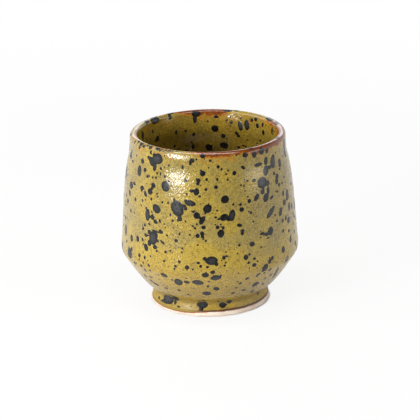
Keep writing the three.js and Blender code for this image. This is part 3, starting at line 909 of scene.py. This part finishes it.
# %% Rust and burnt edge
RUST = (0.2, 0.046, 0.004)
BURNT = (0.075, 0.027, 0.005)
WASH = 1.3 * MM
WASHED_TURN = -72
WASH_FACING = 0.25, 0.85
FOOT_RADIUS = max(p.x for p in bare_foot)
# turn, how squarely a place must face it to begin and to be full, and how far the rust is held back there
COAT_ON_LIP = [(-90, 0.0, 0.45, 3.4 * MM), (144, 0.84, 0.96, 3.8 * MM), (186, 0.86, 0.94, -1.8 * MM)]
RUST_STREAK, RUST_PATCH, PATCH_DEPTH, EDGE_DEPTH = 1.4 * MM, 8 * MM, 8 * MM, 1.2 * MM
FRINGE = 3 * MM
RUST_DEEPENS = 0.6 * MM
BURNT_HEIGHTS = glaze_edge_height + 1.3 * MM, glaze_edge_height + 0.6 * MM


def facing_to(tree, place, turn, radius):
    """How squarely a place at a radius faces a turn: 1 at the turn itself, 0 a quarter round."""
    side = Vector((sin(radians(turn)), -cos(radians(turn)), 0)) / radius
    return add(tree, "VectorMath", {0: place, 1: side}, operation="DOT_PRODUCT").outputs["Value"]


def washed_down(tree, place):
    """How far below its edge the glaze left a thin wash on the foot, which is only on the left."""
    return mask(tree, facing_to(tree, place, WASHED_TURN, FOOT_RADIUS), *WASH_FACING, WASH)


def held_back(tree, place):
    """How far the rust is held back where the coat on the lip is thick; less than 0 where it is thin."""
    held = 0.0
    for turn, low, high, amount in COAT_ON_LIP:
        facing = facing_to(tree, place, turn, lip_middle.x)
        held = math(tree, "ADD", held, mask(tree, facing, low, high, amount))
    return held


def rusted(tree, place, height, colour, rust_from, rust_to, ragged):
    """Rust that sets in between two heights with a ragged edge, and the burnt line on the foot."""
    streaks = math(tree, "SUBTRACT", clouds(tree, place, RUST_STREAK, 4.0), 0.5)
    patches = math(tree, "SUBTRACT", clouds(tree, place, RUST_PATCH, 2.0), 0.5)
    uneven = math(tree, "ADD", height, math(tree, "MULTIPLY", streaks, ragged))
    uneven = math(tree, "ADD", uneven, math(tree, "MULTIPLY", patches, PATCH_DEPTH))
    uneven = math(tree, "SUBTRACT", uneven, held_back(tree, place))
    near_lip = mask(tree, height, rust_from - FRINGE, rust_from)
    fringe = math(tree, "MULTIPLY", specks(tree, place, EMBER_SPACING, 0.9, 0.5), near_lip)
    colour = over(tree, fringe, colour, AMBER)
    colour = over(tree, mask(tree, uneven, rust_from, rust_to), colour, AMBER)
    deep = mask(tree, uneven, (rust_from + rust_to) / 2, rust_to + RUST_DEEPENS)
    colour = over(tree, deep, colour, RUST)
    edge = math(tree, "ADD", height, math(tree, "MULTIPLY", patches, EDGE_DEPTH))
    edge = math(tree, "ADD", edge, washed_down(tree, place))
    return over(tree, mask(tree, edge, *BURNT_HEIGHTS), colour, BURNT)


print("the coat on the lip is uneven at the turns", [place[0] for place in COAT_ON_LIP])

# %% [markdown]
# ### The three coats
#
# The same glaze lies on the wall, the lip and the inside, so one function makes all three finishes and
# takes what differs: the gloss, the two main colours and where the rust sets in. The wall is satin with a
# soft sheen over it, which is the shader's coat. The foot is duller, and the lip is the glassiest. Black
# pinpricks go on last, and a low bump gives the orange peel that breaks up the highlight. Inside, the light
# reaches less far. The inside colours are darker and a little redder, partly the glaze and partly painted
# shade in the cup.

# %% Ochre glaze on three coats
BLACK = (0.005, 0.005, 0.005)
# The inside colours are darker copies of the ochre: partly a redder glaze, partly painted shade in the cup.
SHADED_LINER_OCHRE = (0.345, 0.22, 0.018)
SHADED_LINER_OLIVE = (0.252, 0.172, 0.022)
# index of refraction, roughness, depth of the orange peel, sheen
WALL_GLOSS = (1.53, 0.17, 0.2 * MM, 0.26)
LIP_GLOSS = (1.66, 0.04, 0.05 * MM, 0.0)
LINER_GLOSS = (1.7, 0.12, 0.07 * MM, 0.0)
SHEEN_ROUGHNESS = 0.3
PINPRICK_SPACING = 1.9 * MM
PEEL = 1.0 * MM
DULL_HEIGHTS = 12 * MM, 8 * MM
# where the rust sets in, where it is full, and how ragged it is
LIP_RUST = (LIP_HEIGHT - 3.6 * MM, LIP_HEIGHT - 2.0 * MM, 3 * MM)
LINER_RUST = (LIP_HEIGHT - 4.0 * MM, LIP_HEIGHT - 1.0 * MM, 12 * MM)


def level_between(tree, value, low, high):
    """A level from low to high that follows a noise."""
    inputs = {"Value": value, "From Min": 0.3, "From Max": 0.7, "To Min": low, "To Max": high}
    return add(tree, "MapRange", inputs).outputs["Result"]


def glaze_finish(name, gloss, ochre, olive, rust):
    """The ochre glaze of one coat."""
    ior, roughness, peel_depth, sheen = gloss
    fixed = {"IOR": ior, "Coat Weight": sheen, "Coat Roughness": SHEEN_ROUGHNESS}
    finish, tree, shader = start_finish(name, fixed)
    place = add(tree, "TexCoord", {}).outputs["Object"]
    height = add(tree, "SeparateXYZ", {"Vector": place}).outputs["Z"]
    colour, grain, iron = glaze_body(tree, place, height, ochre, olive)
    colour = thin_pooled_and_shaded(tree, place, height, colour)
    colour = rusted(tree, place, height, colour, *rust)
    colour = over(tree, specks(tree, place, PINPRICK_SPACING, 4.0, 0.36), colour, BLACK)
    satin = level_between(tree, grain, 0.65 * roughness, 1.35 * roughness)
    dulled = math(tree, "ADD", satin, mask(tree, height, *DULL_HEIGHTS, 0.45))
    tree.links.new(dulled, shader.inputs["Roughness"])
    peel = math(tree, "ADD", clouds(tree, place, PEEL, 1.0), math(tree, "MULTIPLY", iron, -0.2))
    dress(tree, shader, colour, peel, peel_depth)
    return finish


wall_finish = glaze_finish("ochre_glaze", WALL_GLOSS, OCHRE, OLIVE, LIP_RUST)
lip_finish = glaze_finish("lip_glaze", LIP_GLOSS, OCHRE, OLIVE, LIP_RUST)
liner_finish = glaze_finish("liner_glaze", LINER_GLOSS, SHADED_LINER_OCHRE, SHADED_LINER_OLIVE, LINER_RUST)
for piece, finish in ((ochre_coat, wall_finish), (lip_coat, lip_finish), (liner_coat, liner_finish)):
    piece.data.materials.append(finish)
    print(finish.name, "with", len(finish.node_tree.nodes), "nodes on", piece.name)

# %% [markdown]
# ## Black glaze
#
# The drops are an iron-black glaze, a little bluer than the ochre. The widest of them have a paler middle,
# partly a sooty glaze that dried there and partly painted sheen, which an attribute places. At the last edge
# the two glazes ran into each other, so there the melt attribute leads from black to a brown of both. One
# flat black would be quicker, but then a drop looks like a hole.

# %% Black glaze
# The paler middle of the widest drops: partly sooty glaze, partly painted sheen.
SOOT_AND_SHEEN = (0.042, 0.044, 0.046)
BLEED = (0.06, 0.04, 0.012)
MOTTLE_PATCH = 1.2 * MM
SKIN_DEPTH = 0.04 * MM


def black_finish():
    """Black drops with a paler middle, soot and painted sheen, in the widest; they bleed into the ochre at
    rims.
    """
    finish, tree, shader = start_finish("black_glaze", {"IOR": 1.5, "Specular IOR Level": 0.5})
    place = add(tree, "TexCoord", {}).outputs["Object"]
    grain = clouds(tree, place, MOTTLE_PATCH, 3.0)
    melt = add(tree, "Attribute", {}, attribute_name="melt").outputs["Fac"]
    soot_and_sheen = add(tree, "Attribute", {}, attribute_name="soot_and_sheen").outputs["Fac"]
    # The bloom is the paler middle, partly soot and partly painted sheen.
    bloom = math(tree, "MULTIPLY", soot_and_sheen, mask(tree, grain, 0.1, 0.5))
    colour = over(tree, bloom, BLACK, SOOT_AND_SHEEN)
    colour = over(tree, mask(tree, melt, 0.9, 1.0), colour, BLEED)
    tree.links.new(level_between(tree, grain, 0.24, 0.36), shader.inputs["Roughness"])
    dress(tree, shader, colour, clouds(tree, place, PEEL), SKIN_DEPTH, 0.35)
    return finish


black_glaze = black_finish()
outer_spatter.data.materials.append(black_glaze)
inside_spatter.data.materials.append(black_glaze)
print("black glaze on two spatters")

# %% [markdown]
# ## Bare clay
#
# The foot shows the stoneware itself: a pale buff that blushes pink, with a fine sandy tooth. Just under
# the glaze it is toasted to a warm line. On the left the glaze was not wiped as high, and a thin wash of it
# covers the upper part of the bare band, so the toasted line runs lower there. The wash has no thickness to
# speak of, so it is only a colour.

# %% Bare clay
BUFF = (0.94, 0.82, 0.7)
BLUSH = (0.9, 0.73, 0.6)
TOAST = (0.33, 0.12, 0.04)
TOOTH, TOOTH_DEPTH = 0.35 * MM, 0.05 * MM
BLUSH_PATCH = 6 * MM
TOAST_WAVE, TOAST_WANDER = 3 * MM, 0.6 * MM
TOAST_HEIGHTS = glaze_edge_height - 0.5 * MM, glaze_edge_height
WASH_HEIGHTS = glaze_edge_height + 0.1 * MM, glaze_edge_height + 0.5 * MM


def clay_finish():
    """The bare stoneware of the foot."""
    finish, tree, shader = start_finish("bare_clay", {"Roughness": 0.85, "Specular IOR Level": 0.3})
    place = add(tree, "TexCoord", {}).outputs["Object"]
    height = add(tree, "SeparateXYZ", {"Vector": place}).outputs["Z"]
    tooth = clouds(tree, place, TOOTH, 4.0)
    colour = over(tree, mask(tree, clouds(tree, place, BLUSH_PATCH, 3.0), 0.4, 0.65), BUFF, BLUSH)
    colour = over(tree, mask(tree, tooth, 0.55, 0.75, 0.4), colour, BLUSH)
    wave = math(tree, "SUBTRACT", clouds(tree, place, TOAST_WAVE, 2.0), 0.5)
    wander = math(tree, "MULTIPLY", wave, TOAST_WANDER)
    uneven = math(tree, "ADD", height, wander)
    uneven = math(tree, "ADD", uneven, washed_down(tree, place))
    colour = over(tree, mask(tree, uneven, *TOAST_HEIGHTS), colour, TOAST)
    colour = over(tree, mask(tree, uneven, *WASH_HEIGHTS), colour, OLIVE)
    dress(tree, shader, colour, tooth, TOOTH_DEPTH, 0.5)
    return finish


thrown_clay.data.materials.append(clay_finish())
print("bare clay on the body")

# %% [markdown]
# ## Floor
#
# The pot stands on a white table. It ends 20 cm in front of the pot's axis, because the room on the
# camera's side is dark, and a larger table would be mirrored as a pale haze on the bowl. Its diffuse part
# takes the shadow and throws light back up under the bowl. For the camera most of it is an even white, so
# that it stays white without extra light on the pot, and far away all of it is, so that its edge melts into
# the backdrop. Reflections see less of that white. Close round the foot it is diffuse, which keeps a thin
# line of shadow.

# %% Floor
FLOOR_RADIUS = 0.8
FLOOR_BACK = 0.6

bm = bmesh.new()
behind = Matrix.Translation((0, FLOOR_BACK, 0))
bmesh.ops.create_circle(bm, cap_ends=True, segments=96, radius=FLOOR_RADIUS, matrix=behind)
floor_mesh = bpy.data.meshes.new("floor")
bm.to_mesh(floor_mesh)
bm.free()
floor = bpy.data.objects.new("floor", floor_mesh)
bpy.context.scene.collection.objects.link(floor)
print("table", FLOOR_RADIUS, "m in radius,", FLOOR_BACK, "m back")

# %% White of the table
WHITE_SHARE = 0.88
FADE_FROM, FADE_TO = 0.2, 0.6
MIRRORED_SHARE = 0.45
CONTACT = 1 * MM
TABLE_WHITE = (0.92, 0.92, 0.91, 1)


def seen_ray(tree, mirrored=1.0):
    """1 for camera rays, a share for rays from a gloss or through glass, 0 for gathered light."""
    path = add(tree, "LightPath", {}).outputs
    bounced = math(tree, "MAXIMUM", path["Is Glossy Ray"], path["Is Transmission Ray"])
    return math(tree, "MAXIMUM", path["Is Camera Ray"], math(tree, "MULTIPLY", bounced, mirrored))


table = bpy.data.materials.new("white_table")
table.use_nodes = True
table_tree = table.node_tree
table_tree.nodes.clear()
matte = add(table_tree, "BsdfDiffuse", {"Color": TABLE_WHITE})
white = add(table_tree, "Emission", {"Color": (1, 1, 1, 1), "Strength": 1.0})
spot = add(table_tree, "TexCoord", {}).outputs["Object"]
from_axis = add(table_tree, "VectorMath", {0: spot}, operation="LENGTH").outputs["Value"]
clear_of_foot = mask(table_tree, from_axis, FOOT_RADIUS, FOOT_RADIUS + CONTACT, WHITE_SHARE)
far_away = mask(table_tree, from_axis, FADE_FROM, FADE_TO, 1 - WHITE_SHARE)
even_white = math(table_tree, "ADD", clear_of_foot, far_away)
share = math(table_tree, "MULTIPLY", seen_ray(table_tree, MIRRORED_SHARE), even_white)
surface = add(table_tree, "MixShader", {0: share, 1: matte.outputs[0], 2: white.outputs[0]})
add(table_tree, "OutputMaterial", {"Surface": surface.outputs[0]})
floor.data.materials.append(table)
print("table in white, fading from", FADE_FROM, "to", FADE_TO, "m")

# %% [markdown]
# ## Light
#
# A softbox left of the camera gives the bright window on the shoulder and the lip. A second one hangs
# overhead and lights the table, and a third one behind draws the white line along the lip. Two weak cards
# lift the flanks. The world adds an even glow. The camera sees it white all round, but the glaze mirrors it
# only behind the pot and under a dark ceiling, as in a room where the light is set up round the table. Area
# lamps have the soft edges of softboxes, and their power follows from the brightness that the softbox
# itself should have, times its area.

# %% Lamps
LAMP_AIM = Vector((0, 0, 60 * MM))


def softbox(name, turn, rise, distance, width, height, brightness):
    """A rectangular lamp that faces the pot, as bright as a white surface times the brightness."""
    lamp = bpy.data.lights.new(name, "AREA")
    lamp.shape = "RECTANGLE"
    lamp.size = width
    lamp.size_y = height
    lamp.energy = brightness * pi * width * height
    holder = bpy.data.objects.new(name, lamp)
    bpy.context.scene.collection.objects.link(holder)
    a, e = radians(turn), radians(rise)
    away = Vector((sin(a) * cos(e), -cos(a) * cos(e), sin(e)))
    holder.location = LAMP_AIM + distance * away
    holder.rotation_mode = "QUATERNION"
    holder.rotation_quaternion = away.to_track_quat("Z", "Y")
    print(name, f"{lamp.energy:.1f} W")


softbox("key_softbox", -44.5, 13.6, 0.9, 0.3, 0.32, 25.0)
softbox("left_card", -85, 40, 0.9, 1.0, 0.6, 1.2)
softbox("top_softbox", -12, 78, 1.1, 1.2, 0.26, 5.9)
softbox("back_softbox", 180, 27, 1.1, 1.0, 0.4, 2.2)
softbox("right_card", 70, 12, 0.8, 0.45, 0.4, 3.2)

# %% World
GLOW = 0.1
CEILING_FADE = 0.8, 0.2
BACKDROP_FADE = -0.5, 0.3
world = bpy.data.worlds.new("world")
bpy.context.scene.world = world
world.use_nodes = True
sky = world.node_tree
glow = sky.nodes["Background"]
glow.inputs["Color"].default_value = (1, 1, 1, 1)
direction = add(sky, "TexCoord", {}).outputs["Generated"]
heading = add(sky, "SeparateXYZ", {"Vector": direction}).outputs
below_ceiling = mask(sky, heading["Z"], *CEILING_FADE)
backdrop = math(sky, "MULTIPLY", mask(sky, heading["Y"], *BACKDROP_FADE), below_ceiling)
brightness = math(sky, "MULTIPLY", seen_ray(sky, backdrop), 1.0 - GLOW)
sky.links.new(math(sky, "ADD", brightness, GLOW), glow.inputs["Strength"])
bpy.context.scene.view_settings.view_transform = "Standard"
print("world with a glow of", GLOW)
